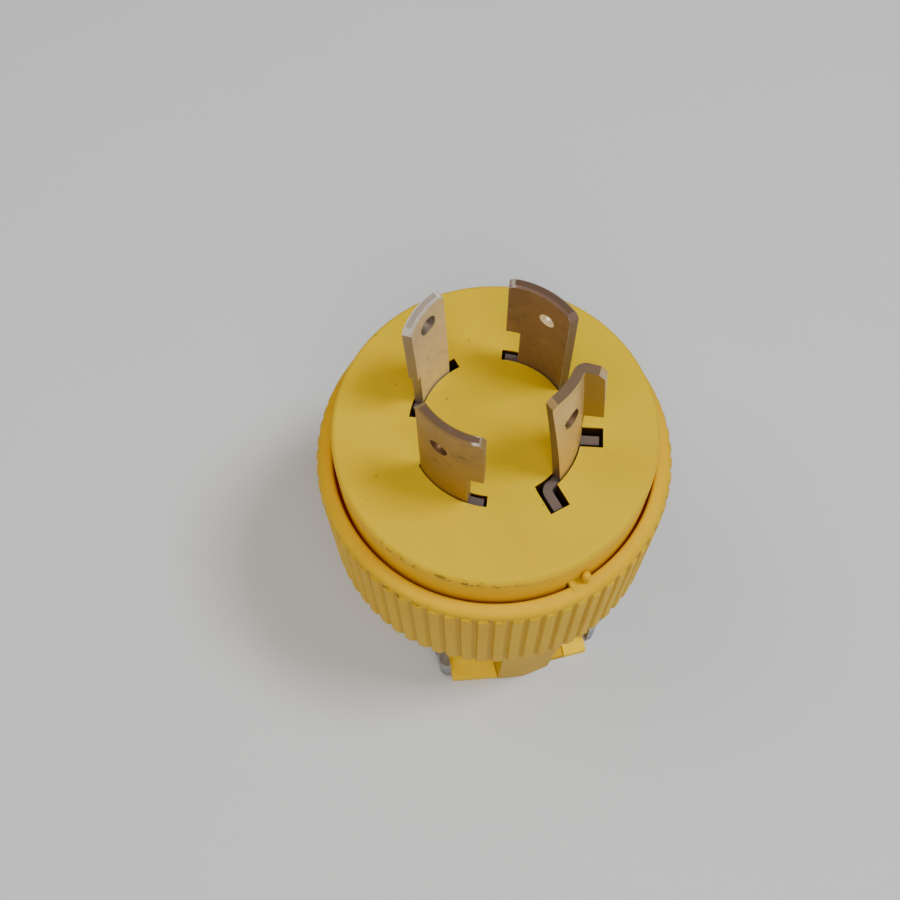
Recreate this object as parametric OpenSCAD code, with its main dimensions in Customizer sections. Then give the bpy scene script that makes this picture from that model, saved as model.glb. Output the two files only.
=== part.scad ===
// Locking power plug: four hooked blades in a round nylon face, held in a ribbed collar,
// with a two-jaw cord clamp at the foot. It stands on the clamp, blades up.
// Origin: middle of the foot, on the surface it stands on. Units: millimetres.

/* [Body] */
// Height of the face above the foot
face_z = 61; // [58:0.5:70]
// Diameter of the face disc
face_d = 51; // [49:0.5:53]
// Radius of the round edge of the face
face_edge_r = 0.9; // [0.6:0.1:2]
// Thickness of the face disc where the blades pass through it
face_plate_t = 10; // [8:0.5:12]
// Clearance between the face disc and the collar
collar_gap = 0.5; // [0.3:0.05:0.8]
// Wall of the collar outside the face disc, without the ribs
collar_wall = 2.35; // [1.8:0.05:3]
// Height of the collar, from its shoulder to its rim
collar_h = 27.5; // [25:0.5:30]
// Height of the face above the rim of the collar
face_above_rim = 7.7; // [6:0.1:9]
// Radius of the rounded rim
rim_r = 1.3; // [0.8:0.1:1.6]

/* [Ribs] */
// Number of grip ribs round the collar
rib_count = 68; // [56:4:80]
// Height of a rib
rib_h = 0.5; // [0.3:0.05:0.8]

/* [Key] */
// Angle of the key round the collar
key_angle = -75; // [-80:1:-68]
// Width of the key's tab
key_w = 3.4; // [2.4:0.1:4]
// Height of the key's pip above the rim
key_h = 3.2; // [1.5:0.1:4]

/* [Blades] */
// Height of the blades above the face
blade_h = 22; // [20:0.5:24]
// Thickness of the blades
blade_t = 1.5; // [1.2:0.1:1.8]
// Diameter of the circle outside the blades
blade_circle_d = 26.6; // [25.5:0.1:27.5]
// How much narrower a line blade is than its slot, in degrees of the circle
line_short = 4; // [3:0.5:7]
// How much narrower the neutral blade is than its slot, in degrees of the circle
neutral_short = 9; // [6:0.5:12]
// Width of the main leaf of the ground blade, in degrees
ground_span = 37; // [34:1:40]
// Depth of the locking notch, in degrees
notch_span = 10.5; // [8:0.5:12]
// Height of the top of the locking notch above the face
notch_h = 9; // [7.5:0.5:10.5]
// Diameter of the hole near the tip of each blade
tip_hole_d = 3.2; // [2.4:0.1:3.6]
// Distance of that hole below the tip
tip_hole_drop = 5.4; // [3.5:0.1:6]
// Reach of the ground blade's leg from the middle of the plug
ground_leg_reach = 16.2; // [15.6:0.1:16.4]
// Lean of the bent ground blade towards the middle, in degrees
ground_lean = 5; // [0:0.5:6]
// Direction that the ground blade leans away from
ground_lean_dir = -34; // [-45:1:-18]
// Clearance round a blade in its slot
slot_gap = 0.15; // [0.1:0.01:0.2]
// Width of a slot, in degrees of the circle
slot_span = 55; // [54:0.5:57]

/* [Terminals] */
// Thickness of the terminal block
block_h = 14; // [13:0.5:15]
// Diameter of the terminal screws
terminal_screw_d = 3.8; // [3.4:0.1:4.2]
// Diameter of the terminal screw heads
terminal_head_d = 6.8; // [6:0.1:7.4]
// Side of the pressure plates
plate_w = 8; // [7.4:0.1:8.4]
// Thickness of the pressure plates
plate_t = 1.4; // [1:0.1:1.8]
// Room for a wire under a terminal
wire_room = 3.5; // [3:0.1:3.8]

/* [Neck and foot] */
// Outer diameter of the neck
neck_d = 31; // [30:0.5:32]
// Diameter of the cord entry through the neck
cord_entry_d = 25; // [22:0.5:26]
// Thickness of the shoulder under the collar
shoulder_t = 3.2; // [3:0.1:4]
// Width of each buttress
buttress_w = 10.2; // [9:0.1:11]
// Distance of the buttress ridge from the middle, at the foot
buttress_reach = 26.4; // [25:0.1:27]
// Angle of the two facets of a buttress
facet_angle = 8; // [6:0.5:12]

/* [Cord clamp] */
// Height of the clamp jaws
jaw_h = 10.7; // [10:0.1:12]
// Distance of the left jaw's outer side from the middle
jaw_left_x = 13.6; // [13:0.1:14.2]
// Distance of the right jaw's outer side from the middle
jaw_right_x = 12.8; // [12.4:0.1:13.6]
// Distance of the jaw toes from the middle
toe_reach = 24.9; // [24:0.1:25.5]
// Height of the front of a toe
toe_h = 1.9; // [1.4:0.1:2.4]
// Diameter of the cord that the jaws hold
grip_d = 18; // [14:0.5:20]
// Thickness of the steel clamp bars
bar_t = 1.8; // [1.4:0.1:2.2]
// Height of the steel clamp bars
bar_h = 8; // [7:0.1:9]
// Length of the steel clamp bars
bar_l = 45.8; // [44:0.2:47]
// Diameter of the clamp screws
clamp_screw_d = 3.8; // [3.4:0.1:4]
// Diameter of the clamp screw heads
clamp_head_d = 6.8; // [6:0.1:8]

/* [Hidden] */
$fn = 96;
eps = 0.01;

NYLON = "#f2cf1c";
BRASS = "#8a6a34";
PLATED = "#b9a98a";
STEEL = "#b8bcc2";
INNER = "#2c2c2e";

// Heights of the body
face_r = face_d / 2;
rim_z = face_z - face_above_rim;
shoulder_z = rim_z - collar_h;
collar_bore_r = face_r + collar_gap;
collar_r = collar_bore_r + collar_wall;
rib_r = collar_r + rib_h;
plate_z = face_z - face_plate_t;
skirt_t = 3;
skirt_z = plate_z - 8.8;
ledge_gap = 0.2;
floor_z = shoulder_z + shoulder_t;
chamber_r = face_r - 1.5;

// Circle of the blades: centre angle of each slot
X = 42.3;
NEUTRAL = 131;
Y = 221.8;
GROUND = 315;
blade_ro = blade_circle_d / 2;
blade_ri = blade_ro - blade_t;
blade_mid = blade_ro - blade_t / 2;
tip_z = face_z + blade_h;
tip_bevel = 0.45;
tip_corner = 1.1;
end_gap = 2.2;
line_span = slot_span - line_short;
neutral_span = slot_span - neutral_short;
base_drop = 1;
notch_z = face_z + notch_h;
hole_edge = 0.38;
leg_corner = 1.6;
leg_bend = 8;
recess_margin = 3.5;

// Ground blade: its two legs point along these directions, beside a line through the middle
rear_leg_dir = -18;
rear_leg_side = -1.05;
front_leg_dir = -76;
front_leg_side = 1.9;
leg_slot_w = 3.3;
leg_slot_reach = ground_leg_reach + 0.5;
ground_leaf_end = rear_leg_dir - 1.5;

// Terminals
foot_t = blade_t;
foot_z = plate_z - foot_t;
foot_w = 9.6;
foot_reach = 20.3;
terminal_r = 16.9;
block_r = face_r - skirt_t - 0.3;
block_z = plate_z - block_h;
pocket_reach = 20.7;
pocket_w = plate_w + 0.6;
plate_bottom_z = foot_z - wire_room - plate_t;
head_h = 2.4;
screw_slack = 0.05;

// Assembly screws and their posts
post_x = 19.5;
post_r = 3.7;
post_gap = 0.1;
assembly_screw_r = 1.6;
assembly_head_r = 3;
assembly_head_h = 1.9;
counterbore_h = 2.2;
assembly_tip_z = face_z - 5;

// Foot
neck_r = neck_d / 2;
entry_r = cord_entry_d / 2;
buttress_in = 13.9;
buttress_rise = 2;
flare_r = 5;
neck_gap = 0.3;
neck_z = jaw_h + neck_gap;
jaw_gap = 0.1;
split_gap = 1.6;
jaw_core_y = buttress_in - 0.4;
jaw_body_y = 20.8;
toe_rise = 1.5;
ledge_w = 3.2;
right_jaw_in = buttress_w / 2 + ledge_w + jaw_gap;
left_jaw_in = buttress_w / 2 + jaw_gap;
boss_t = 0.7;
clamp_y = 17.4;
clamp_z = 5;
bar_z = 0.7;
bar_end_r = 1.4;
clamp_hole_r = clamp_screw_d / 2 + 0.3;
clamp_head_h = 1.7;
tooth_r = 0.5;
left_bar_x = -jaw_left_x - bar_t;
right_bar_x = jaw_right_x + boss_t;

// ---- shared shapes ----

// What is left outside a quarter circle in a corner of side r
module corner_cut(r) {
    difference() {
        square(r + 1);
        circle(r);
    }
}

// Cylinder wall between two radii and two heights, over part of a turn
module arc_wall(ri, ro, z0, z1, from, span) {
    rotate([0, 0, from])
        rotate_extrude(angle = span)
            translate([ri, z0]) square([ro - ri, z1 - z0]);
}

// Box that starts at the middle line and points along a direction
module spoke(dir, side, x0, x1, w, z0, z1) {
    rotate([0, 0, dir]) translate([x0, side - w / 2, z0]) cube([x1 - x0, w, z1 - z0]);
}

// ---- face disc ----

module blade_slot(centre) {
    arc_wall(blade_ri - slot_gap, blade_ro + slot_gap, plate_z - 1, face_z + 1,
        centre - slot_span / 2, slot_span);
}

module leg_slots() {
    spoke(rear_leg_dir, rear_leg_side, blade_ri, leg_slot_reach, leg_slot_w,
        plate_z - 1, face_z + 1);
    spoke(front_leg_dir, front_leg_side, blade_ri, leg_slot_reach, leg_slot_w,
        plate_z - 1, face_z + 1);
    ground_slot_from = front_leg_dir + 1.5;
    arc_wall(blade_ri - slot_gap, blade_ro + slot_gap, plate_z - 1, face_z + 1,
        ground_slot_from, rear_leg_dir - ground_slot_from);
}

key_notch_gap = 0.35;
key_depth = 1;
key_tab_h = 0.3;
pip_gap = 0.1;

module face_disc() {
    color(NYLON) difference() {
        rotate_extrude() difference() {
            translate([0, skirt_z]) square([face_r, face_z - skirt_z]);
            translate([face_r - face_edge_r, face_z - face_edge_r]) corner_cut(face_edge_r);
        }
        translate([0, 0, skirt_z - 1]) cylinder(r = face_r - skirt_t, h = plate_z - skirt_z + 1);
        blade_slot(X);
        blade_slot(NEUTRAL);
        blade_slot(Y);
        leg_slots();
        spoke(key_angle, 0, face_r - key_depth - key_notch_gap, face_r + 1,
            key_w + 2 * key_notch_gap, skirt_z - 1, rim_z + key_tab_h + key_notch_gap);
        for (s = [-1, 1])
            translate([s * post_x, 0, plate_z - 1])
                cylinder(r = assembly_screw_r + screw_slack, h = assembly_tip_z - plate_z + 1.5);
    }
}

// ---- outer shell ----

// Outline of the ribs: flat tops with narrow grooves between them
function rib_point(i, share, r) =
    let (a = 360 * (i + share) / rib_count) [r * cos(a), r * sin(a)];

module ribbed_band() {
    translate([0, 0, shoulder_z])
        linear_extrude(collar_h - rim_r)
            polygon([for (i = [0 : rib_count - 1])
                for (p = [[0, collar_r + 0.05], [0.16, rib_r - 0.12], [0.34, rib_r],
                    [0.66, rib_r], [0.84, rib_r - 0.12]])
                    rib_point(i, p[0], p[1])]);
}

module rim() {
    rotate_extrude() difference() {
        translate([0, shoulder_z + 1]) square([collar_r, collar_h - 1]);
        translate([collar_r - rim_r, rim_z - rim_r]) corner_cut(rim_r);
        translate([collar_bore_r + rim_r / 2, rim_z - rim_r / 2])
            mirror([1, 0]) corner_cut(rim_r / 2);
    }
}

// Key that bridges the gap to the face disc: a low tab, and a round pip near one end
module key_boss() {
    tab_in = face_r - key_depth;
    tab_out = collar_bore_r + rim_r / 2;
    pip_r = key_w / 5;
    rotate([0, 0, key_angle]) {
        translate([tab_in, -key_w / 2, rim_z - 6]) cube([tab_out - tab_in, key_w, 6 + key_tab_h]);
        translate([face_r + pip_gap + pip_r, key_w / 2 - pip_r, rim_z - 2]) {
            cylinder(r = pip_r, h = 2 + key_h - pip_r);
            translate([0, 0, 2 + key_h - pip_r]) sphere(pip_r);
        }
    }
}

module neck() {
    rotate_extrude() {
        translate([0, neck_z]) square([neck_r, shoulder_z - neck_z + 1]);
        difference() {
            translate([neck_r - 1, shoulder_z - 2]) square([3, 2 + eps]);
            translate([neck_r + 2, shoulder_z - 2]) circle(2);
        }
    }
}

// Front view of a buttress: straight, then flared into the shoulder
module buttress_front() {
    half = buttress_w / 2;
    translate([-half, 0]) square([buttress_w, shoulder_z + 1]);
    difference() {
        translate([-half - flare_r, shoulder_z - flare_r])
            square([buttress_w + 2 * flare_r, flare_r + 1]);
        for (s = [-1, 1])
            translate([s * (half + flare_r), shoulder_z - flare_r]) circle(flare_r);
    }
}

// Everything behind one facet of the ridge
module facet_side(angle) {
    wide = 80;
    translate([0, -buttress_reach, 0]) rotate([0, 0, angle])
        rotate([90, 0, 90]) translate([0, 0, -wide / 2])
            linear_extrude(wide)
                polygon([[0, 0], [-buttress_rise, shoulder_z], [-buttress_rise, shoulder_z + 1],
                    [buttress_reach - buttress_in, shoulder_z + 1],
                    [buttress_reach - buttress_in, 0]]);
}

module buttress() {
    intersection() {
        translate([0, -buttress_in, 0]) rotate([90, 0, 0]) linear_extrude(20) buttress_front();
        facet_side(facet_angle);
        facet_side(-facet_angle);
    }
}

// Low ledge beside the buttress that guides the right jaw
module jaw_ledge() {
    toe_prism(buttress_w / 2 - 1, buttress_w / 2 + ledge_w, clamp_y, 0);
}

// Foot that slopes down towards its front
module toe_prism(x0, x1, y0, extra) {
    translate([x0, 0, 0]) rotate([90, 0, 90]) linear_extrude(x1 - x0)
        polygon([[-y0, 0], [-y0, toe_h + toe_rise + extra], [-jaw_body_y, toe_h + toe_rise + extra],
            [-toe_reach, toe_h + extra], [-toe_reach, 0]]);
}

module outer_shell() {
    color(NYLON) difference() {
        union() {
            ribbed_band();
            rim();
            neck();
            for (a = [0, 180]) rotate([0, 0, a]) buttress();
            jaw_ledge();
            mirror([0, 1, 0]) jaw_ledge();
        }
        // room for the face disc, then the wiring chamber
        translate([0, 0, skirt_z - ledge_gap])
            cylinder(r = collar_bore_r, h = rim_z - skirt_z + 1);
        difference() {
            translate([0, 0, floor_z]) cylinder(r = chamber_r, h = skirt_z - floor_z + 1);
            for (s = [-1, 1])
                translate([s * post_x, 0, floor_z - 1])
                    cylinder(r = post_r, h = block_z - post_gap - floor_z + 1);
        }
        translate([0, 0, neck_z - 1]) cylinder(r = entry_r, h = floor_z - neck_z + 2);
        for (s = [-1, 1]) translate([s * post_x, 0, 0]) {
            translate([0, 0, shoulder_z - 1]) cylinder(r = assembly_head_r + 0.3, h = counterbore_h + 1);
            translate([0, 0, shoulder_z]) cylinder(r = assembly_screw_r + 0.3, h = block_h + 20);
        }
        for (s = [-1, 1])
            translate([-buttress_w, s * clamp_y, clamp_z]) rotate([0, 90, 0])
                cylinder(r = clamp_hole_r, h = 2 * buttress_w);
    }
    color(NYLON) key_boss();
}

// ---- terminal block ----

module pocket(angle) {
    recess_z = foot_z - 0.1;
    spoke(angle, 0, blade_ri - 0.5, pocket_reach, foot_w + 0.6, recess_z, plate_z + 1);
    spoke(angle, 0, terminal_r - plate_w / 2 - 0.3, pocket_reach, pocket_w, block_z - 1, plate_z);
    recess_span = slot_span + 2 * recess_margin;
    arc_wall(blade_ri - 0.4, blade_ro + 0.4, recess_z, plate_z + 1, angle - recess_span / 2,
        recess_span);
}

module terminal_block() {
    color(INNER) difference() {
        translate([0, 0, block_z]) cylinder(r = block_r, h = block_h);
        for (a = [X, NEUTRAL, Y, GROUND]) pocket(a);
        spoke(rear_leg_dir, rear_leg_side, blade_ri, leg_slot_reach, leg_slot_w,
            foot_z - 0.1, plate_z + 1);
        spoke(front_leg_dir, front_leg_side, blade_ri, leg_slot_reach, leg_slot_w,
            foot_z - 0.1, plate_z + 1);
        for (s = [-1, 1])
            translate([s * post_x, 0, block_z - 1])
                cylinder(r = assembly_screw_r + 0.3, h = block_h + 2);
    }
}

// ---- blades ----

// Curved leaf with a bevelled top
module leaf(from, span, z0, z1) {
    rotate([0, 0, from]) rotate_extrude(angle = span)
        polygon([[blade_ri, z0], [blade_ro, z0], [blade_ro, z1 - tip_bevel],
            [blade_ro - tip_bevel, z1], [blade_ri + tip_bevel, z1], [blade_ri, z1 - tip_bevel]]);
}

// Corner of a leaf's tip, cut off at 45 degrees
module tip_corner_cut(angle) {
    rotate([0, 0, angle]) translate([blade_ri - 2, 0, tip_z]) rotate([45, 0, 0])
        translate([0, -tip_corner, -tip_corner])
            cube([blade_t + 4, 2 * tip_corner, 2 * tip_corner]);
}

module tip_hole(angle) {
    rotate([0, 0, angle]) translate([blade_ri - 3, 0, tip_z - tip_hole_drop])
        rotate([0, 90, 0]) cylinder(d = tip_hole_d, h = blade_t + 6);
}

// Flat foot with the threaded hole of its terminal
module blade_foot(angle) {
    difference() {
        spoke(angle, 0, blade_ri + blade_t / 2, foot_reach, foot_w, foot_z, foot_z + foot_t);
        rotate([0, 0, angle]) translate([terminal_r, 0, foot_z - 1])
            cylinder(d = terminal_screw_d + 2 * screw_slack, h = foot_t + 2);
    }
}

// Hooked blade: its end towards the larger angle carries the locking notch
module hooked_blade(centre, span) {
    to = centre + slot_span / 2 - end_gap;
    from = to - span;
    difference() {
        union() {
            leaf(from, span, foot_z, tip_z);
            blade_foot(centre);
        }
        arc_wall(blade_ri - 1, blade_ro + 1, face_z - base_drop, notch_z, to - notch_span,
            notch_span + 5);
        tip_corner_cut(from);
        tip_corner_cut(to);
        tip_hole(from + hole_edge * span);
    }
}

module blade_line_x() { color(BRASS) hooked_blade(X, line_span); }
module blade_line_y() { color(BRASS) hooked_blade(Y, line_span); }
module blade_neutral() { color(PLATED) hooked_blade(NEUTRAL, neutral_span); }

module ground_leg(z0, z1) {
    spoke(rear_leg_dir, rear_leg_side, blade_ri + blade_t / 2, ground_leg_reach, blade_t, z0, z1);
}

// Part of the ground blade above the face, upright
module ground_upper() {
    from = ground_leaf_end - ground_span;
    difference() {
        union() {
            leaf(from, ground_span, face_z - base_drop, tip_z);
            ground_leg(notch_z, tip_z - tip_bevel);
        }
        tip_corner_cut(from);
        rotate([0, 0, rear_leg_dir]) translate([ground_leg_reach, 0, tip_z])
            rotate([0, 45, 0]) cube([leg_corner, 8 * blade_t, leg_corner], center = true);
        tip_hole(from + hole_edge * ground_span);
    }
}

module blade_ground() {
    base_z = face_z - base_drop;
    inset = 0.05;
    lower_from = front_leg_dir + leg_bend;
    color(BRASS) {
        rotate([0, 0, ground_lean_dir]) translate([blade_mid, 0, base_z])
            rotate([0, -ground_lean, 0]) translate([-blade_mid, 0, -base_z])
            rotate([0, 0, -ground_lean_dir]) ground_upper();
        arc_wall(blade_ri + inset, blade_ro - inset, foot_z, base_z + 0.1, lower_from,
            ground_leaf_end - 1.5 - lower_from);
        ground_leg(foot_z + 0.3, base_z - 0.1);
        spoke(front_leg_dir, front_leg_side, blade_ri + blade_t / 2, ground_leg_reach, blade_t,
            foot_z + 0.3, base_z - 0.1);
        blade_foot(GROUND);
    }
}

// ---- terminal screws and pressure plates ----

module terminal_screw(angle) {
    head_z = plate_bottom_z - head_h;
    color(STEEL) rotate([0, 0, angle]) translate([terminal_r, 0, 0]) difference() {
        union() {
            translate([0, 0, head_z]) cylinder(d = terminal_head_d, h = head_h);
            translate([0, 0, head_z]) cylinder(d = terminal_screw_d, h = plate_z - 0.2 - head_z);
        }
        translate([-5, -0.5, head_z - 1]) cube([10, 1, 2]);
    }
}

module pressure_plate(angle) {
    color(STEEL) difference() {
        spoke(angle, 0, terminal_r - plate_w / 2, terminal_r + (pocket_reach - terminal_r) - 0.3,
            plate_w, plate_bottom_z, plate_bottom_z + plate_t);
        rotate([0, 0, angle]) translate([terminal_r, 0, plate_bottom_z - 1])
            cylinder(d = terminal_screw_d + 0.4, h = plate_t + 2);
    }
}

module terminal_screw_x() { terminal_screw(X); }
module terminal_screw_y() { terminal_screw(Y); }
module terminal_screw_neutral() { terminal_screw(NEUTRAL); }
module terminal_screw_ground() { terminal_screw(GROUND); }
module pressure_plate_x() { pressure_plate(X); }
module pressure_plate_y() { pressure_plate(Y); }
module pressure_plate_neutral() { pressure_plate(NEUTRAL); }
module pressure_plate_ground() { pressure_plate(GROUND); }

// ---- assembly screws ----

module assembly_screw(side) {
    seat_z = shoulder_z + counterbore_h;
    color(STEEL) translate([side * post_x, 0, 0]) difference() {
        union() {
            translate([0, 0, seat_z - assembly_head_h])
                cylinder(r = assembly_head_r, h = assembly_head_h);
            translate([0, 0, seat_z - 1])
                cylinder(r = assembly_screw_r, h = assembly_tip_z - seat_z + 1);
        }
        for (a = [0, 90]) rotate([0, 0, a])
            translate([-2, -0.4, seat_z - assembly_head_h - 1]) cube([4, 0.8, 2]);
    }
}

module assembly_screw_left() { assembly_screw(-1); }
module assembly_screw_right() { assembly_screw(1); }

// ---- cord clamp ----

// One jaw on the +X side: a body beside the buttresses, a core that holds the cord, two toes
module jaw(inner_x, outer_x) {
    difference() {
        union() {
            translate([inner_x, -jaw_body_y, 0])
                cube([outer_x - inner_x, 2 * jaw_body_y, jaw_h]);
            translate([split_gap, -jaw_core_y, 0])
                cube([outer_x - split_gap, 2 * jaw_core_y, jaw_h]);
            toe_prism(inner_x, outer_x, jaw_body_y - 1, 0);
            mirror([0, 1, 0]) toe_prism(inner_x, outer_x, jaw_body_y - 1, 0);
        }
        translate([0, 0, -1]) cylinder(d = grip_d, h = jaw_h + 2);
        // teeth grooves that bite into the cord
        for (z = [jaw_h / 4, jaw_h / 2, 3 * jaw_h / 4])
            translate([0, 0, z]) rotate_extrude()
                translate([grip_d / 2, 0]) circle(tooth_r, $fn = 24);
        for (s = [-1, 1])
            translate([0, s * clamp_y, clamp_z]) rotate([0, 90, 0])
                cylinder(r = clamp_hole_r, h = 2 * outer_x);
    }
}

module clamp_jaw_left() {
    color(NYLON) mirror([1, 0, 0]) jaw(left_jaw_in, jaw_left_x);
}

module clamp_jaw_right() {
    color(NYLON) {
        jaw(right_jaw_in, jaw_right_x);
        for (s = [-1, 1])
            translate([jaw_right_x - eps, s * clamp_y, clamp_z]) rotate([0, 90, 0]) difference() {
                cylinder(r = bar_h / 2, h = boss_t + eps);
                translate([0, 0, -1]) cylinder(r = clamp_hole_r, h = boss_t + 2);
            }
    }
}

// Steel bar with rounded ends, its flat side at x = 0 and its round side towards +X
module clamp_bar(hole_r) {
    difference() {
        translate([0, 0, bar_z]) linear_extrude(bar_h) difference() {
            translate([0, -bar_l / 2]) square([bar_t, bar_l]);
            for (s = [-1, 1])
                translate([bar_t - bar_end_r, s * (bar_l / 2 - bar_end_r)])
                    scale(1) mirror([0, s < 0 ? 1 : 0]) corner_cut(bar_end_r);
        }
        for (s = [-1, 1])
            translate([-1, s * clamp_y, clamp_z]) rotate([0, 90, 0])
                cylinder(r = hole_r, h = bar_t + 2);
    }
}

module clamp_bar_left() {
    color(STEEL) translate([-jaw_left_x, 0, 0]) mirror([1, 0, 0])
        clamp_bar(clamp_screw_d / 2 + screw_slack);
}

module clamp_bar_right() {
    color(STEEL) translate([right_bar_x, 0, 0]) clamp_bar(clamp_hole_r);
}

module clamp_screw(y) {
    seat_x = right_bar_x + bar_t;
    tip_x = left_bar_x - 1.4;
    color(STEEL) translate([0, y, clamp_z]) rotate([0, 90, 0]) difference() {
        union() {
            translate([0, 0, tip_x]) cylinder(d = clamp_screw_d, h = seat_x - tip_x + 1);
            translate([0, 0, seat_x]) cylinder(d = clamp_head_d, h = clamp_head_h);
        }
        translate([-5, -0.6, seat_x + clamp_head_h - 0.8]) cube([10, 1.2, 2]);
    }
}

module clamp_screw_front() { clamp_screw(-clamp_y); }
module clamp_screw_back() { clamp_screw(clamp_y); }

face_disc();
outer_shell();
terminal_block();
blade_line_x();
blade_line_y();
blade_neutral();
blade_ground();
terminal_screw_x();
terminal_screw_y();
terminal_screw_neutral();
terminal_screw_ground();
pressure_plate_x();
pressure_plate_y();
pressure_plate_neutral();
pressure_plate_ground();
clamp_jaw_left();
clamp_jaw_right();
clamp_bar_left();
clamp_bar_right();
clamp_screw_front();
clamp_screw_back();
assembly_screw_left();
assembly_screw_right();
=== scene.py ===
"""A worn yellow locking power plug, standing on its cord clamp with its blades up."""

import logging
import math
from dataclasses import dataclass, field
from enum import Enum
from typing import Callable, Sequence

import bmesh
import bpy
from mathutils import Matrix, Vector


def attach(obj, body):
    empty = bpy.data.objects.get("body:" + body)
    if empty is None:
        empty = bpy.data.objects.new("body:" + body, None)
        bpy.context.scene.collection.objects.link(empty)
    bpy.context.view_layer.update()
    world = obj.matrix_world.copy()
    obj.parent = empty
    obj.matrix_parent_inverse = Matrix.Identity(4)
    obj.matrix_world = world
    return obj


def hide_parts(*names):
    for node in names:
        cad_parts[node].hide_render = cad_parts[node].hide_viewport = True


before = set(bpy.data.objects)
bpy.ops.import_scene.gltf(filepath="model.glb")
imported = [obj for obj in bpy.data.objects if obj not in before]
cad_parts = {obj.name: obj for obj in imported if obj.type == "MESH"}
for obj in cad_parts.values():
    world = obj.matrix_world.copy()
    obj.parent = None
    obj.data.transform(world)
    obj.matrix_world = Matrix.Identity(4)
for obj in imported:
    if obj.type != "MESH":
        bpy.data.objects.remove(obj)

LOG = logging.getLogger("plug")
MM = 0.001
Point = tuple[float, float, float]
Flat = tuple[float, float]
Colour = tuple[float, float, float]

# Distances under which points are merged: in a new piece, in a copied solid and after a cut
WELD, WELD_COPY, WELD_CUT = 0.002, 0.003, 0.004
# Rays that a finish sends out to find an edge or a corner
PROBES = 6

# Sizes that several pieces share, in millimetres and degrees
FACE_TOP = 61.0
BLADE_INNER, BLADE_OUTER = 11.8, 13.3
BLADE_FOOT, BLADE_TIP = 49.5, 83.0
NOTCH_TOP = 70.0
SLOT_SPAN = 55.0
LINE_X_WAY, NEUTRAL_WAY, LINE_Y_WAY, GROUND_WAY = 42.3, 131.0, 221.8, -45.0
KEY_WAY = -75.0
TOE = 24.9


class Side(Enum):
    """Which way a repeated piece faces along its axis."""

    FRONT = -1
    BACK = 1


class Shine(Enum):
    """How the surface of a steel piece was made."""

    ROLLED = "rolled"
    TURNED = "turned"


# ---------------------------------------------------------------- modelling


def polar(radius: float, degrees: float, height: float = 0.0) -> Point:
    """Give the point at a radius, an angle and a height, in millimetres."""
    turn = math.radians(degrees)
    return radius * math.cos(turn), radius * math.sin(turn), height


def quarter(centre: Flat, radius: float, start: float, end: float, steps: int) -> list[Flat]:
    """Give the points of an arc.

    Args:
        centre: Centre of the arc.
        radius: Radius of the arc.
        start: First angle, in degrees.
        end: Last angle, in degrees.
        steps: Number of stretches.

    Returns:
        The points, the first and the last among them.
    """
    angles = [math.radians(start + (end - start) * i / steps) for i in range(steps + 1)]
    return [(centre[0] + radius * math.cos(a), centre[1] + radius * math.sin(a)) for a in angles]


def ribbon(line: Sequence[Flat], thickness: float) -> list[Flat]:
    """Draw the outline of a strip of sheet that is seen edge on.

    Args:
        line: Middle line of the strip.
        thickness: Thickness of the sheet.

    Returns:
        The corners of the outline, along one side and back along the other.
    """
    points = [Vector(p) for p in line]
    one, other = [], []
    for i, point in enumerate(points):
        before = (point - points[i - 1]).normalized() if i else None
        after = (points[i + 1] - point).normalized() if i + 1 < len(points) else None
        way = ((before or after) + (after or before)).normalized()
        side = Vector((-way.y, way.x)) * (thickness / 2 / max(way.dot(after or before), 0.5))
        one.append(tuple(point + side))
        other.append(tuple(point - side))
    return one + other[::-1]


def bent(first: Sequence[Flat], corner: Flat, way: float, length: float, radius: float) -> list[Flat]:
    """Carry a line on round a corner.

    Args:
        first: The line up to the corner.
        corner: Where the two straight stretches would meet.
        way: Direction of the second stretch, in degrees.
        length: Length of the second stretch from the corner.
        radius: Radius of the bend.

    Returns:
        The whole line.
    """
    start, meet = Vector(first[-1]), Vector(corner)
    come = (meet - start).normalized()
    go = Vector(polar(1, way)[:2])
    turn = come.angle_signed(go)
    reach = radius * math.tan(abs(turn) / 2)
    middle = meet - come * reach + Vector((come.y, -come.x)) * math.copysign(radius, turn)
    arc = []
    for i in range(9):
        swing = Matrix.Rotation(-turn * i / 8, 2)
        arc.append(tuple(middle + swing @ (meet - come * reach - middle)))
    return [*first, *arc, tuple(meet + go * length)]


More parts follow.
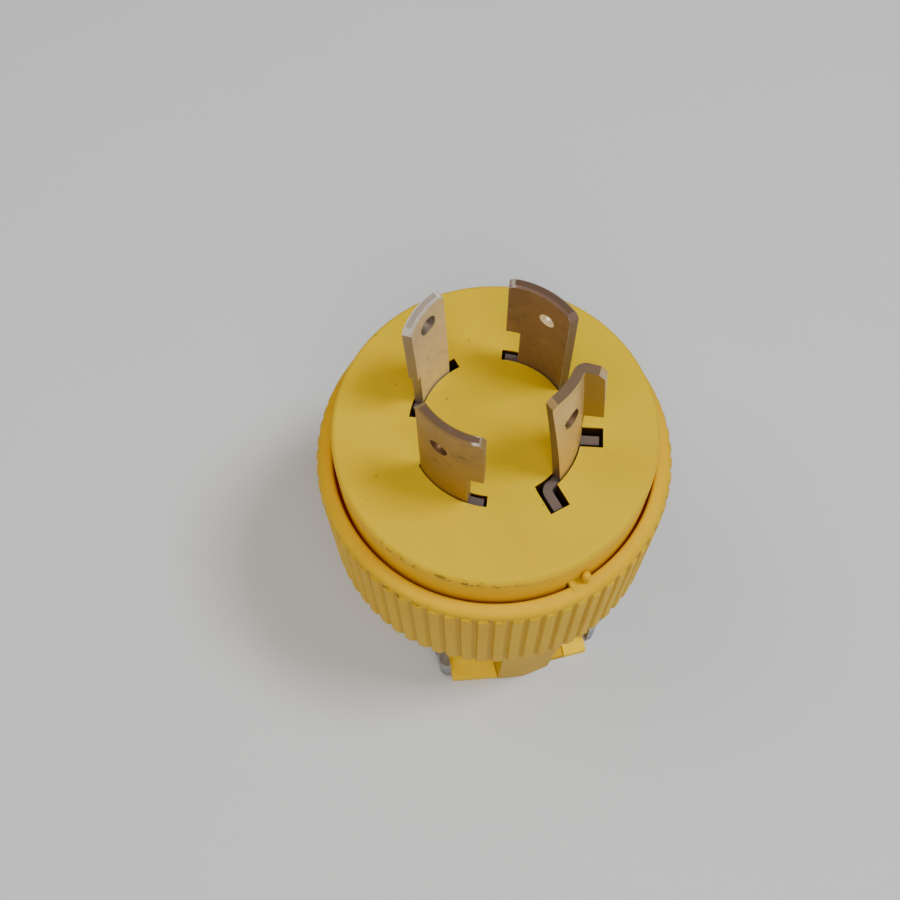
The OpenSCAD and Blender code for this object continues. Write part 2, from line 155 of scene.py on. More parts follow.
class Bench:
    """The modelling moves that every piece is made with."""

    @staticmethod
    def clear() -> None:
        """Leave edit mode and deselect everything."""
        if bpy.context.object and bpy.context.object.mode != "OBJECT":
            bpy.ops.object.mode_set(mode="OBJECT")
        bpy.ops.object.select_all(action="DESELECT")

    @staticmethod
    def pick(*pieces: bpy.types.Object) -> None:
        """Select pieces, the last of them as the active one."""
        Bench.clear()
        for piece in pieces:
            piece.select_set(True)
        bpy.context.view_layer.objects.active = pieces[-1]

    @staticmethod
    def edit(piece: bpy.types.Object, kind: str = "VERT") -> None:
        """Open a piece in edit mode with nothing of it selected."""
        Bench.pick(piece)
        bpy.ops.object.mode_set(mode="EDIT")
        bpy.ops.mesh.select_mode(type=kind)
        bpy.ops.mesh.select_all(action="DESELECT")

    @staticmethod
    def done() -> None:
        """Go back to object mode."""
        bpy.ops.object.mode_set(mode="OBJECT")

    @staticmethod
    def choose(piece: bpy.types.Object, test: Callable[[Vector], bool]) -> None:
        """Select the vertices or faces of the open piece that pass a test of place.

        Args:
            piece: The piece that is in edit mode.
            test: Takes the place of a vertex, or of the middle of a face, in millimetres.
        """
        mesh = bmesh.from_edit_mesh(piece.data)
        faces = bpy.context.tool_settings.mesh_select_mode[2]
        for item in mesh.faces if faces else mesh.verts:
            place = item.calc_center_median() if faces else item.co
            if test(place / MM):
                item.select_set(True)
        mesh.select_flush_mode()
        bmesh.update_edit_mesh(piece.data)

    @staticmethod
    def thread(name: str, points: Sequence[Point], closed: bool = False) -> bpy.types.Object:
        """Draw a line of edges through points, from one small plane that is merged to a point.

        Args:
            name: Name of the new piece.
            points: The points, in millimetres.
            closed: Whether the last point joins the first.

        Returns:
            The piece, in object mode.
        """
        Bench.clear()
        bpy.ops.mesh.primitive_plane_add(size=MM, location=(0, 0, 0))
        piece = bpy.context.object
        piece.name = name
        bpy.ops.object.mode_set(mode="EDIT")
        bpy.ops.mesh.select_mode(type="VERT")
        bpy.ops.mesh.select_all(action="SELECT")
        bpy.ops.mesh.merge(type="CENTER")
        places = [Vector(p) * MM for p in points]
        bpy.ops.transform.translate(value=places[0])
        for before, after in zip(places, places[1:]):
            bpy.ops.mesh.extrude_region_move(TRANSFORM_OT_translate={"value": after - before})
        if closed:
            bpy.ops.mesh.select_all(action="SELECT")
            bpy.ops.mesh.edge_face_add()
        bpy.ops.object.mode_set(mode="OBJECT")
        return piece

    @staticmethod
    def tidy(piece: bpy.types.Object) -> bpy.types.Object:
        """Merge the doubles of a piece and turn its faces outwards."""
        Bench.edit(piece)
        bpy.ops.mesh.select_all(action="SELECT")
        bpy.ops.mesh.remove_doubles(threshold=WELD * MM)
        bpy.ops.mesh.normals_make_consistent(inside=False)
        Bench.done()
        return piece

    @staticmethod
    def lathe(name: str, profile: Sequence[Flat], steps: int, ring: bool = False) -> bpy.types.Object:
        """Spin a profile round the plug's axis.

        Args:
            name: Name of the new piece.
            profile: Radius and height of each point, in millimetres.
            steps: Number of stretches in the full turn.
            ring: Whether the profile closes on itself, away from the axis.

        Returns:
            The closed piece.
        """
        points = [(r, 0.0, z) for r, z in profile]
        piece = Bench.thread(name, points + points[:1] if ring else points)
        Bench.edit(piece)
        bpy.ops.mesh.select_all(action="SELECT")
        bpy.ops.mesh.spin(steps=steps, angle=math.tau, center=(0, 0, 0), axis=(0, 0, 1))
        Bench.done()
        return Bench.tidy(piece)

    @staticmethod
    def sector(name: str, section: Sequence[Flat], start: float, span: float, steps: int) -> bpy.types.Object:
        """Sweep a closed section round part of a turn.

        Args:
            name: Name of the new piece.
            section: Radius and height of each corner, in millimetres.
            start: Angle of the first end, in degrees.
            span: Angle between the ends, in degrees.
            steps: Number of stretches.

        Returns:
            The closed piece.
        """
        turn = math.radians(start)
        points = [(r * math.cos(turn), r * math.sin(turn), z) for r, z in section]
        piece = Bench.thread(name, points, closed=True)
        Bench.edit(piece)
        bpy.ops.mesh.select_all(action="SELECT")
        bpy.ops.mesh.spin(steps=steps, angle=math.radians(-span), center=(0, 0, 0), axis=(0, 0, 1))
        Bench.done()
        return Bench.tidy(piece)

    @staticmethod
    def prism(name: str, outline: Sequence[Point], rise: Point) -> bpy.types.Object:
        """Extrude a flat outline along a straight way.

        Args:
            name: Name of the new piece.
            outline: The corners, in millimetres.
            rise: The way to the other end, in millimetres.

        Returns:
            The closed piece.
        """
        piece = Bench.thread(name, outline, closed=True)
        Bench.edit(piece)
        bpy.ops.mesh.select_all(action="SELECT")
        bpy.ops.mesh.extrude_region_move(TRANSFORM_OT_translate={"value": Vector(rise) * MM})
        Bench.done()
        return Bench.tidy(piece)

    @staticmethod
    def rod(name: str, start: Point, end: Point, radius: float, sides: int = 32) -> bpy.types.Object:
        """Add a round bar between two points, in millimetres."""
        a, b = Vector(start) * MM, Vector(end) * MM
        way = b - a
        Bench.clear()
        bpy.ops.mesh.primitive_cylinder_add(
            vertices=sides, radius=radius * MM, depth=way.length, location=(a + b) / 2,
            rotation=way.to_track_quat("Z", "Y").to_euler(),
        )
        piece = bpy.context.object
        piece.name = name
        bpy.ops.object.transform_apply(location=True, rotation=True, scale=True)
        return piece

    @staticmethod
    def block(name: str, low: Point, high: Point) -> bpy.types.Object:
        """Add a box between two corners, in millimetres."""
        plan = [(low[0], low[1]), (high[0], low[1]), (high[0], high[1]), (low[0], high[1])]
        return Bench.prism(name, [(x, y, low[2]) for x, y in plan], (0, 0, high[2] - low[2]))

    @staticmethod
    def spoke(name: str, degrees: float, side: float, x: Flat, width: float, z: Flat) -> bpy.types.Object:
        """Add a box that points along a direction from the plug's axis.

        Args:
            name: Name of the new piece.
            degrees: Direction, in degrees.
            side: Distance of its middle line from the axis.
            x: Its start and end along the direction.
            width: Its width.
            z: Its bottom and top.

        Returns:
            The piece.
        """
        turn = Matrix.Rotation(math.radians(degrees), 3, "Z")
        right, left = side - width / 2, side + width / 2
        plan = [(x[0], right), (x[1], right), (x[1], left), (x[0], left)]
        outline = [tuple(turn @ Vector((px, py, z[0]))) for px, py in plan]
        return Bench.prism(name, outline, (0, 0, z[1] - z[0]))

    @staticmethod
    def combine(piece: bpy.types.Object, other: bpy.types.Object, how: str) -> bpy.types.Object:
        """Cut, join or overlap a piece with another, which is used up."""
        modifier = piece.modifiers.new("combine", "BOOLEAN")
        modifier.operation = how
        modifier.object = other
        modifier.solver = "EXACT"
        Bench.pick(piece)
        bpy.ops.object.modifier_apply(modifier=modifier.name)
        bpy.data.objects.remove(other)
        return piece

    @staticmethod
    def cut(piece: bpy.types.Object, *tools: bpy.types.Object) -> bpy.types.Object:
        """Cut a piece with one or more others."""
        for tool in tools:
            Bench.combine(piece, tool, "DIFFERENCE")
        return piece

    @staticmethod
    def join(piece: bpy.types.Object, *others: bpy.types.Object) -> bpy.types.Object:
        """Melt others into a piece."""
        for other in others:
            Bench.combine(piece, other, "UNION")
        return piece

    @staticmethod
    def soften(piece: bpy.types.Object, width: float, corner: float = 40.0, segments: int = 3) -> bpy.types.Object:
        """Round the sharp edges of a piece and shade it smooth.

        Args:
            piece: The piece.
            width: Width of the rounding, in millimetres.
            corner: The least angle of an edge that is rounded, in degrees.
            segments: Number of strips in the rounding.

        Returns:
            The piece.
        """
        Bench.edit(piece)
        bpy.ops.mesh.select_all(action="SELECT")
        bpy.ops.mesh.remove_doubles(threshold=WELD_CUT * MM)
        bpy.ops.mesh.dissolve_limited(angle_limit=math.radians(0.3))
        Bench.done()
        modifier = piece.modifiers.new("round", "BEVEL")
        modifier.width = width * MM
        modifier.segments = segments
        modifier.limit_method = "ANGLE"
        modifier.angle_limit = math.radians(corner)
        modifier.use_clamp_overlap = True
        modifier.miter_outer = "MITER_ARC"
        modifier.harden_normals = False
        Bench.pick(piece)
        bpy.ops.object.modifier_apply(modifier=modifier.name)
        return Bench.level(piece)

    @staticmethod
    def level(piece: bpy.types.Object, corner: float = 32.0) -> bpy.types.Object:
        """Shade a piece smooth, with its large faces kept flat."""
        Bench.pick(piece)
        bpy.ops.object.shade_smooth_by_angle(angle=math.radians(corner))
        modifier = piece.modifiers.new("level", "WEIGHTED_NORMAL")
        modifier.mode = "FACE_AREA"
        modifier.weight = 100
        modifier.keep_sharp = True
        bpy.ops.object.modifier_apply(modifier=modifier.name)
        return piece

    @staticmethod
    def bend(
        piece: bpy.types.Object,
        base: float,
        tip: float,
        push: Flat,
        twist: float = 0.0,
        pivot: Flat = (0.0, 0.0),
    ) -> None:
        """Push a blade over and twist it a little more at each level, as a knock would.

        Args:
            piece: The blade.
            base: Height at which the bend starts.
            tip: Height of the tip.
            push: How far the tip goes along X and Y, in millimetres.
            twist: How far the tip turns, in degrees.
            pivot: Where it turns about.
        """
        bends = 8
        total = sum(range(1, bends + 1))
        centre, way = Vector((*pivot, 0.0)) * MM, Vector((*push, 0.0)) * MM
        for level in range(1, bends + 1):
            height = base + (tip - base) * (level - 0.5) / bends
            Bench.edit(piece)
            bpy.ops.mesh.select_all(action="SELECT")
            bpy.ops.mesh.bisect(plane_co=(0, 0, height * MM), plane_no=(0, 0, 1))
            bpy.ops.mesh.select_all(action="DESELECT")
            Bench.choose(piece, lambda p, height=height: p.z > height - 0.001)
            share = 0.5 / bends + 0.5 * level / total
            if twist:
                bpy.ops.transform.rotate(
                    value=math.radians(twist * share), orient_axis="Z", orient_type="GLOBAL", center_override=centre
                )
            bpy.ops.transform.translate(value=way * share)
            Bench.done()
        Bench.level(piece, 40)

    @staticmethod
    def copy_of(node: str, name: str) -> bpy.types.Object:
        """Copy a solid of the frame as a new closed piece.

        Args:
            node: Name of the solid.
            name: Name of the copy.

        Returns:
            The copy, with its doubles merged and its flat faces whole.
        """
        Bench.pick(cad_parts[node])
        bpy.ops.object.duplicate()
        piece = bpy.context.object
        piece.name = name
        piece.parent = None
        for key in list(piece.keys()):
            del piece[key]
        Bench.edit(piece)
        bpy.ops.mesh.customdata_custom_splitnormals_clear()
        bpy.ops.mesh.select_all(action="SELECT")
        bpy.ops.mesh.remove_doubles(threshold=WELD_COPY * MM)
        bpy.ops.mesh.mark_sharp(clear=True)
        bpy.ops.mesh.dissolve_limited(angle_limit=math.radians(0.5))
        Bench.done()
        return piece


# ---------------------------------------------------------------- materials


@dataclass
class Term:
    """A value of a surface, as one socket of the finish's nodes."""

    graph: "Graph"
    socket: bpy.types.NodeSocket

    def _math(self, operation: str, *others: "Term | float", flip: bool = False) -> "Term":
        """Add a Math node on this value and others."""
        values = [self, *others]
        if flip:
            values.reverse()
        inputs = dict(enumerate(values))
        return self.graph.node("ShaderNodeMath", {"operation": operation}, inputs).out()

    def out(self, name: str | int = 0) -> "Term":
        """Give this value itself."""
        return self

    def __add__(self, other: "Term | float") -> "Term":
        """Add."""
        return self._math("ADD", other)

    __radd__ = __add__

    def __mul__(self, other: "Term | float") -> "Term":
        """Multiply."""
        return self._math("MULTIPLY", other)

    __rmul__ = __mul__

    def __sub__(self, other: "Term | float") -> "Term":
        """Subtract."""
        return self._math("SUBTRACT", other)

    def __rsub__(self, other: float) -> "Term":
        """Subtract this value from a number."""
        return self._math("SUBTRACT", other, flip=True)

    def __truediv__(self, other: "Term | float") -> "Term":
        """Divide."""
        return self._math("DIVIDE", other)

    def above(self, low: float, high: float) -> "Term":
        """Rise smoothly from 0 at low to 1 at high."""
        settings = {"interpolation_type": "SMOOTHSTEP"}
        inputs = {"Value": self, "From Min": low, "From Max": high}
        return self.graph.node("ShaderNodeMapRange", settings, inputs).out("Result")

    def below(self, low: float, high: float) -> "Term":
        """Fall smoothly from 1 at low to 0 at high."""
        return 1 - self.above(low, high)

    def atan2(self, other: "Term") -> "Term":
        """Give the angle of this value over another, in radians."""
        return self._math("ARCTAN2", other)

    def root(self) -> "Term":
        """Give the square root."""
        return self._math("SQRT")

    def size(self) -> "Term":
        """Give the value without its sign."""
        return self._math("ABSOLUTE")

    def or_more(self, other: "Term | float") -> "Term":
        """Give the greater of two values."""
        return self._math("MAXIMUM", other)


@dataclass
class Made:
    """A node that was just added to a finish."""

    graph: "Graph"
    node: bpy.types.Node

    def out(self, name: str | int = 0) -> Term:
        """Give one of the node's outputs as a value."""
        return Term(self.graph, self.node.outputs[name])


class Graph:
    """The node tree of one finish."""

    def __init__(self, name: str) -> None:
        """Start an empty material."""
        self.material = bpy.data.materials.new(name)
        self.material.use_nodes = True
        self.tree = self.material.node_tree
        self.tree.nodes.clear()

    def node(
        self,
        kind: str,
        settings: dict[str, object] | None = None,
        inputs: dict[str | int, object] | None = None,
    ) -> Made:
        """Add a node.

        Args:
            kind: The node's type.
            settings: Its own settings, which are set first.
            inputs: A value or a link for each socket.

        Returns:
            The new node.
        """
        made = self.tree.nodes.new(kind)
        for key, value in (settings or {}).items():
            setattr(made, key, value)
        for key, value in (inputs or {}).items():
            socket = made.inputs[key]
            if isinstance(value, (Term, Made)):
                self.tree.links.new(value.out().socket, socket)
            elif isinstance(value, tuple) and socket.type == "RGBA":
                socket.default_value = (*value, 1.0)
            else:
                socket.default_value = value
        return Made(self, made)

    def place(self) -> Term:
        """Give the place on the piece, in millimetres."""
        made = self.node("ShaderNodeTexCoord")
        settings = {"operation": "SCALE"}
        return self.node("ShaderNodeVectorMath", settings, {0: made.out("Object"), "Scale": 1 / MM}).out()

    def axes(self, place: Term) -> tuple[Term, Term, Term]:
        """Split a place into its three parts."""
        parts = self.node("ShaderNodeSeparateXYZ", None, {0: place})
        return parts.out("X"), parts.out("Y"), parts.out("Z")

    def stretched(self, place: Term, by: Point, shift: Point = (0, 0, 0)) -> Term:
        """Stretch and shift a place before a pattern reads it."""
        inputs = {"Vector": place, "Scale": by, "Location": shift}
        return self.node("ShaderNodeMapping", None, inputs).out()

    def noise(self, place: Term, scale: float, detail: float = 3.0, rough: float = 0.55, warp: float = 0.0) -> Term:
        """Give soft random clouds between 0 and 1, with a scale in turns per millimetre."""
        inputs = {"Vector": place, "Scale": scale, "Detail": detail, "Roughness": rough, "Distortion": warp}
        return self.node("ShaderNodeTexNoise", None, inputs).out(0)

    def cells(self, place: Term, scale: float) -> Term:
        """Give the distance to the nearest of many scattered points."""
        return self.node("ShaderNodeTexVoronoi", {"feature": "F1"}, {"Vector": place, "Scale": scale}).out(0)

    def blend(self, amount: Term | float, first: Term | Colour, second: Term | Colour) -> Term:
        """Mix two colours."""
        settings = {"data_type": "RGBA", "blend_type": "MIX", "clamp_factor": True}
        return self.node("ShaderNodeMix", settings, {0: amount, 6: first, 7: second}).out(2)

    def edges(self, width: float) -> Term:
        """Give 1 on edges within a width in millimetres, and 0 on open faces."""
        soft = self.node("ShaderNodeBevel", {"samples": PROBES}, {"Radius": width * MM}).out()
        flat = self.node("ShaderNodeNewGeometry").out("Normal")
        alike = self.node("ShaderNodeVectorMath", {"operation": "DOT_PRODUCT"}, {0: soft, 1: flat}).out("Value")
        return alike.below(0.80, 0.995)

    def corners(self, reach: float) -> Term:
        """Give 1 deep in corners within a reach in millimetres, and 0 in the open."""
        inputs = {"Distance": reach * MM}
        open_sky = self.node("ShaderNodeAmbientOcclusion", {"samples": PROBES}, inputs).out("AO")
        return 1 - open_sky

    def bump(self, height: Term, depth: float) -> Term:
        """Turn a height from 0 to 1 into relief of a depth in millimetres."""
        inputs = {"Height": height, "Distance": depth * MM, "Strength": 1.0}
        return self.node("ShaderNodeBump", None, inputs).out()

    def finish(self, **sockets: object) -> bpy.types.Material:
        """Close the material with a shader whose sockets are given by name."""
        named = {key.replace("_", " "): value for key, value in sockets.items()}
        shader = self.node("ShaderNodeBsdfPrincipled", None, named)
        self.node("ShaderNodeOutputMaterial", None, {"Surface": shader.out("BSDF")})
        return self.material


class Mark:
    """Colours of the marks on the yellow nylon, and of the painted shade and glow on it."""

    MOTTLE: Colour = (0.75, 0.52, 0.0)
    WALL_SHADE: Colour = (0.90, 0.50, 0.0)
    SCRATCH: Colour = (0.72, 0.50, 0.05)
    RUBBED: Colour = (0.92, 0.72, 0.12)
    GRIME_AND_SHADE: Colour = (0.20, 0.10, 0.01)
    SPECK: Colour = (0.16, 0.09, 0.02)
    CHIP: Colour = (0.09, 0.055, 0.02)
    PALE_CHIP: Colour = (0.88, 0.68, 0.16)
    GROOVE_SHADE: Colour = (0.40, 0.22, 0.0)
    GAP_SHADE: Colour = (0.42, 0.06, 0.012)
    GAP_PAINTED_GLOW: Colour = (0.045, 0.004, 0.001)
    SLOT_SHADE: Colour = (0.018, 0.008, 0.004)


@dataclass(frozen=True)
class Nylon:
    """Yellow moulded nylon with handling marks and painted shade.

    Attributes:
        name: Name of the finish.
        body: Colour of clean nylon.
        deep: Colour of its thicker, duller patches.
        grime_and_shade: How dirty the edges are, and how deep the painted shade in the corners is, from 0 to 1.
        rim: Radius and height of a dirty, chipped line round the piece, or None.
        specks: How many dark specks there are, from 0 to 1.
        pits: Height of the face, under which its slots are painted nearly black as shade, or None.
        seed: Shift of the patterns.
        wall_shade: How far the upright faces take the painted shade colour, from 0 to 1.
        grooves: Radius of the ribs, between which and under the shoulder the colour is darkened as painted shade,
            or None.
    """

    name: str
    body: Colour = (0.74, 0.47, 0.0)
    deep: Colour = (0.68, 0.38, 0.0)
    grime_and_shade: float = 0.3
    rim: Flat | None = None
    specks: float = 0.3
    pits: float | None = None
    seed: float = 0.0
    wall_shade: float = 0.0
    grooves: float | None = None

    def build(self) -> bpy.types.Material:
        """Make the material."""
        g = Graph(self.name)
        place = g.place()
        shifted = g.stretched(place, (1, 1, 1), (self.seed * 7.3, self.seed * 3.1, self.seed))
        x, y, z = g.axes(place)
        radius = (x * x + y * y).root()
        cloud = g.noise(shifted, 0.07, 3, 0.6, 0.4)
        mottle = g.noise(shifted, 0.6, 4, 0.6)
        grain = g.noise(shifted, 9.0, 2, 0.7)
        colour = g.blend(cloud.above(0.35, 0.7) * 0.6, self.body, self.deep)
        colour = g.blend(mottle.above(0.5, 0.75) * 0.15, colour, Mark.MOTTLE)
        # painted shade: upright faces turn a deeper orange, as the yellow does in shade
        upright = g.axes(g.node("ShaderNodeNewGeometry").out("Normal"))[2].size().below(0.15, 0.7)
        colour = g.blend(upright * self.wall_shade, colour, Mark.WALL_SHADE)
        # pale rub marks and fine scratches
        streak = g.noise(g.stretched(shifted, (0.35, 3.2, 1.0)), 0.9, 3, 0.6, 0.6)
        scratch = streak.above(0.66, 0.70) * g.noise(shifted, 0.13, 2).above(0.48, 0.62)
        edge = g.edges(0.5)
        rubbed = edge * mottle.above(0.42, 0.62)
        colour = g.blend(scratch * 0.22, colour, Mark.SCRATCH)
        colour = g.blend(rubbed * 0.40, colour, Mark.RUBBED)
        # painted shade darkens the corners, and dark soiling collects on the edges
        corner = g.corners(1.6).above(0.35, 0.95)
        soil = g.noise(shifted, 0.8, 4, 0.7).above(0.50, 0.68)
        dirt_and_shade = corner * 0.35 * self.grime_and_shade + edge * soil * self.grime_and_shade * 0.5
        colour = g.blend(dirt_and_shade, colour, Mark.GRIME_AND_SHADE)
        # scattered dark specks
        speck = g.cells(shifted, 0.30).below(0.045, 0.085) * g.noise(shifted, 0.23, 1).above(0.50, 0.56)
        colour = g.blend(speck * self.specks, colour, Mark.SPECK)
        # dark and pale chips along the rim
        if self.rim:
            near = (radius - self.rim[0]).size().below(0.0, 0.75) * (z - self.rim[1]).size().below(0.1, 1.3)
            chip = g.noise(shifted, 0.75, 4, 0.75).above(0.535, 0.575)
            turn = y.atan2(x) * (180 / math.pi)
            side = turn.above(-165, -150) * turn.below(-108, -88)
            colour = g.blend(near * chip * (side * 0.7 + 0.12), colour, Mark.CHIP)
            pale = g.noise(shifted, 1.1, 3, 0.7, 0.5).above(0.55, 0.62)
            colour = g.blend(near * pale * 0.22, colour, Mark.PALE_CHIP)
        # painted shade: deeper yellow between the ribs and under the shoulder
        if self.grooves:
            groove = radius.below(self.grooves - 0.34, self.grooves - 0.06) * radius.above(27.9, 28.0)
            groove = groove * z.below(50.6, 51.2) * z.above(26.0, 27.0)
            low = z.below(25.0, 28.0)
            colour = g.blend((groove * 0.42).or_more(low * 0.28), colour, Mark.GROOVE_SHADE)
        # painted shade in the narrow gap between face and collar, lifted by a faint painted glow
        gap = radius.above(25.3, 25.4) * radius.below(26.5, 26.7) * z.below(49.6, 52.4) * z.above(41.0, 41.5)
        colour = g.blend(gap * 0.95, colour, Mark.GAP_SHADE)
        # painted shade: the slots go nearly black below the face
        if self.pits:
            slot_shade_mask = z.below(self.pits - 0.45, self.pits - 0.05) * radius.below(18.0, 18.6)
            colour = g.blend(slot_shade_mask * 0.97, colour, Mark.SLOT_SHADE)
        rough = 0.42 + mottle * 0.12 + scratch * 0.18 + edge * 0.08
        height = grain * 0.3 + mottle * 0.7 - scratch * 0.6
        return g.finish(
            Base_Color=colour, Roughness=rough, Specular_IOR_Level=0.07, Normal=g.bump(height, 0.03),
            # the faint glow in the gap is painted light
            Emission_Color=g.blend(gap, (0.0, 0.0, 0.0), Mark.GAP_PAINTED_GLOW), Emission_Strength=1.0,
            Subsurface_Weight=0.1, Subsurface_Radius=(1.0, 0.5, 0.02), Subsurface_Scale=0.0012,
        )


@dataclass(frozen=True)
class Blade:
    """Tarnished metal of a contact blade.

    Attributes:
        name: Name of the finish.
        metal: Colour of the cleaner metal.
        tarnish: Colour of its tarnish.
        stain: Colour of its darkest stains.
        ends: Colour of the sheared ends, painted dull as a dark reflection.
        crown: Colour of the top edge.
        hole: Angle, height and radius of the hole.
        hole_light_and_shade: Colour of the hole's wall, painted light on line X and painted shade on the other
            blades.
        leg: Colour of the outward leg, or None.
        glint: Angles between which the top edge's chamfer carries a painted highlight.
        shine: How bright the rubbed edge and the painted highlight are, from 0 to 1.
        cover: How much is tarnished, from 0 to 1.
        dull: Roughness of the flat faces.
        seed: Shift of the patterns.
    """

    name: str
    metal: Colour
    tarnish: Colour
    stain: Colour
    ends: Colour
    crown: Colour
    hole: Point
    hole_light_and_shade: Colour
    glint: Flat
    shine: float = 0.5
    leg: Colour | None = None
    cover: float = 0.5
    dull: float = 0.42
    seed: float = 0.0

    def build(self) -> bpy.types.Material:
        """Make the material."""
        g = Graph(self.name)
        place = g.place()
        shifted = g.stretched(place, (1, 1, 1), (self.seed * 5.1, self.seed * 2.3, self.seed * 1.7))
        x, y, z = g.axes(place)
        radius = (x * x + y * y).root()
        nx, ny, nz = g.axes(g.node("ShaderNodeNewGeometry").out("Normal"))
        cloud = g.noise(shifted, 0.14, 4, 0.62, 1.2)
        blotch = g.noise(shifted, 0.45, 4, 0.66, 0.8)
        pores = g.noise(shifted, 3.2, 3, 0.7)
        drawn = g.noise(g.stretched(shifted, (5.0, 5.0, 0.4)), 0.8, 3, 0.65)
        edge = g.edges(0.3)
        # the two flat faces
        amount = (cloud * 0.9 + blotch * 0.35 + self.cover - 0.62).above(0.25, 0.75)
        colour = g.blend(amount, self.metal, self.tarnish)
        stain = blotch.above(0.55, 0.72) * cloud.above(0.40, 0.60)
        colour = g.blend(stain * 0.55, colour, self.stain)
        colour = g.blend(drawn.above(0.55, 0.75) * 0.18, colour, self.metal)
        colour = g.blend(pores.above(0.62, 0.70) * 0.30, colour, self.stain)
        if self.leg:
            facing_x, facing_y, _ = polar(1, -104)
            facing = (nx * facing_x + ny * facing_y).size()
            leg = facing.above(0.85, 0.95) * z.above(NOTCH_TOP - 1.0, NOTCH_TOP)
            border = edge.above(0.2, 0.8)
            colour = g.blend(leg * 0.9, colour, self.leg)
            colour = g.blend(leg * border * 0.8, colour, self.ends)
        # the sheared ends, painted dull as a dark reflection, and the top edge
        sheared = ((nx * y - ny * x) / radius).size().above(0.60, 0.85)
        if self.leg:
            sheared = sheared * (1 - leg)
        colour = g.blend(sheared * 0.9, colour, self.ends)
        high = z.above(BLADE_TIP - 3.0, BLADE_TIP - 2.4)
        top = nz.above(0.66, 0.86) * high
        colour = g.blend(top * 0.92, colour, self.crown)
        rub = edge * blotch.above(0.36, 0.62) * 0.45 * (1 - top * 0.75)
        # painted highlight: the chamfer between the glint angles is lit bright, broken into patches by noise
        turn = y.atan2(x) * (180 / math.pi)
        lit = turn.above(self.glint[0] - 2, self.glint[0] + 2) * turn.below(self.glint[1] - 2, self.glint[1] + 2)
        worn = g.noise(shifted, 0.9, 3, 0.7).above(0.38, 0.50)
        lit = lit * nz.above(0.3, 0.6) * high * nz.below(0.85, 0.99) * worn
        # pale rubbed edges and the painted highlight share one colour
        colour = g.blend((rub * self.shine).or_more(lit * self.shine), colour, (0.95, 0.88, 0.80))
        # the wall of the hole, painted: bright on line X, dark on the other blades
        way = math.radians(self.hole[0])
        across = y * math.cos(way) - x * math.sin(way)
        rise = z - self.hole[1]
        from_hole = (across * across + rise * rise).root()
        inside = from_hole.below(self.hole[2] + 0.02, self.hole[2] + 0.14)
        colour = g.blend(inside, colour, self.hole_light_and_shade)
        # painted shade on what stands in the slot
        sunk_shade = z.below(60.0, 60.9)
        colour = g.blend(sunk_shade * 0.95, colour, (0.085, 0.062, 0.066))
        rough = (self.dull + stain * 0.14 + drawn * 0.10 + sunk_shade * 0.2 - lit * 0.2).or_more(0.18)
        metallic = 0.62 - amount * 0.20 - stain * 0.20 - sunk_shade * 0.4 - sheared * 0.2
        height = drawn * 0.4 + pores * 0.25 + blotch * 0.35 - stain * 0.2
        return g.finish(Base_Color=colour, Metallic=metallic, Roughness=rough, Normal=g.bump(height, 0.03))


@dataclass(frozen=True)
class Zinc:
    """Zinc-plated steel.

    Attributes:
        name: Name of the finish.
        shine: Whether the surface was rolled or turned.
        seed: Shift of the patterns.
    """

    name: str
    shine: Shine = Shine.ROLLED
    seed: float = 0.0

    def build(self) -> bpy.types.Material:
        """Make the material."""
        g = Graph(self.name)
        place = g.place()
        shifted = g.stretched(place, (1, 1, 1), (self.seed, self.seed * 2, 0))
        grain = (6.0, 0.25, 6.0) if self.shine is Shine.ROLLED else (0.3, 5.0, 5.0)
        lines = g.noise(g.stretched(shifted, grain), 1.0, 3, 0.6)
        cloud = g.noise(shifted, 0.5, 4, 0.65, 0.5)
        edge = g.edges(0.3)
        colour = g.blend(cloud.above(0.4, 0.7), (0.30, 0.31, 0.335), (0.17, 0.175, 0.20))
        colour = g.blend(lines.above(0.55, 0.75) * 0.35, colour, (0.42, 0.43, 0.46))
        spot = g.noise(shifted, 1.6, 3, 0.75).above(0.62, 0.70)
        colour = g.blend(spot * 0.75, colour, (0.10, 0.075, 0.055))
        colour = g.blend(edge * 0.5, colour, (0.74, 0.75, 0.78))
        rough = (0.34 + cloud * 0.16 + spot * 0.3 - edge * 0.1).or_more(0.15)
        height = lines * 0.6 + cloud * 0.4
        return g.finish(Base_Color=colour, Metallic=0.35 - spot * 0.2, Roughness=rough, Normal=g.bump(height, 0.02))


@dataclass(frozen=True)
class Phenolic:
    """Black moulded plastic of the terminal block."""

    name: str = "black_phenolic"

    def build(self) -> bpy.types.Material:
        """Make the material."""
        g = Graph(self.name)
        place = g.place()
        cloud = g.noise(place, 0.4, 4, 0.6)
        grain = g.noise(place, 5.0, 3, 0.7)
        colour = g.blend(cloud, (0.012, 0.011, 0.011), (0.032, 0.028, 0.026))
        colour = g.blend(grain.above(0.6, 0.75) * 0.3, colour, (0.06, 0.05, 0.045))
        return g.finish(Base_Color=colour, Roughness=0.55 + grain * 0.15, Normal=g.bump(grain, 0.04))


@dataclass(frozen=True)
class Paper:
    """The pale floor that the plug stands on."""

    name: str = "pale_floor"

    def build(self) -> bpy.types.Material:
        """Make the material."""
        g = Graph(self.name)
        place = g.place()
        cloud = g.noise(place, 0.01, 3, 0.5)
        grain = g.noise(place, 1.2, 3, 0.6)
        colour = g.blend(cloud, (0.60, 0.64, 0.70), (0.64, 0.68, 0.74))
        return g.finish(Base_Color=colour, Roughness=0.85 + grain * 0.05, Normal=g.bump(grain, 0.02))


# ---------------------------------------------------------------- the plug


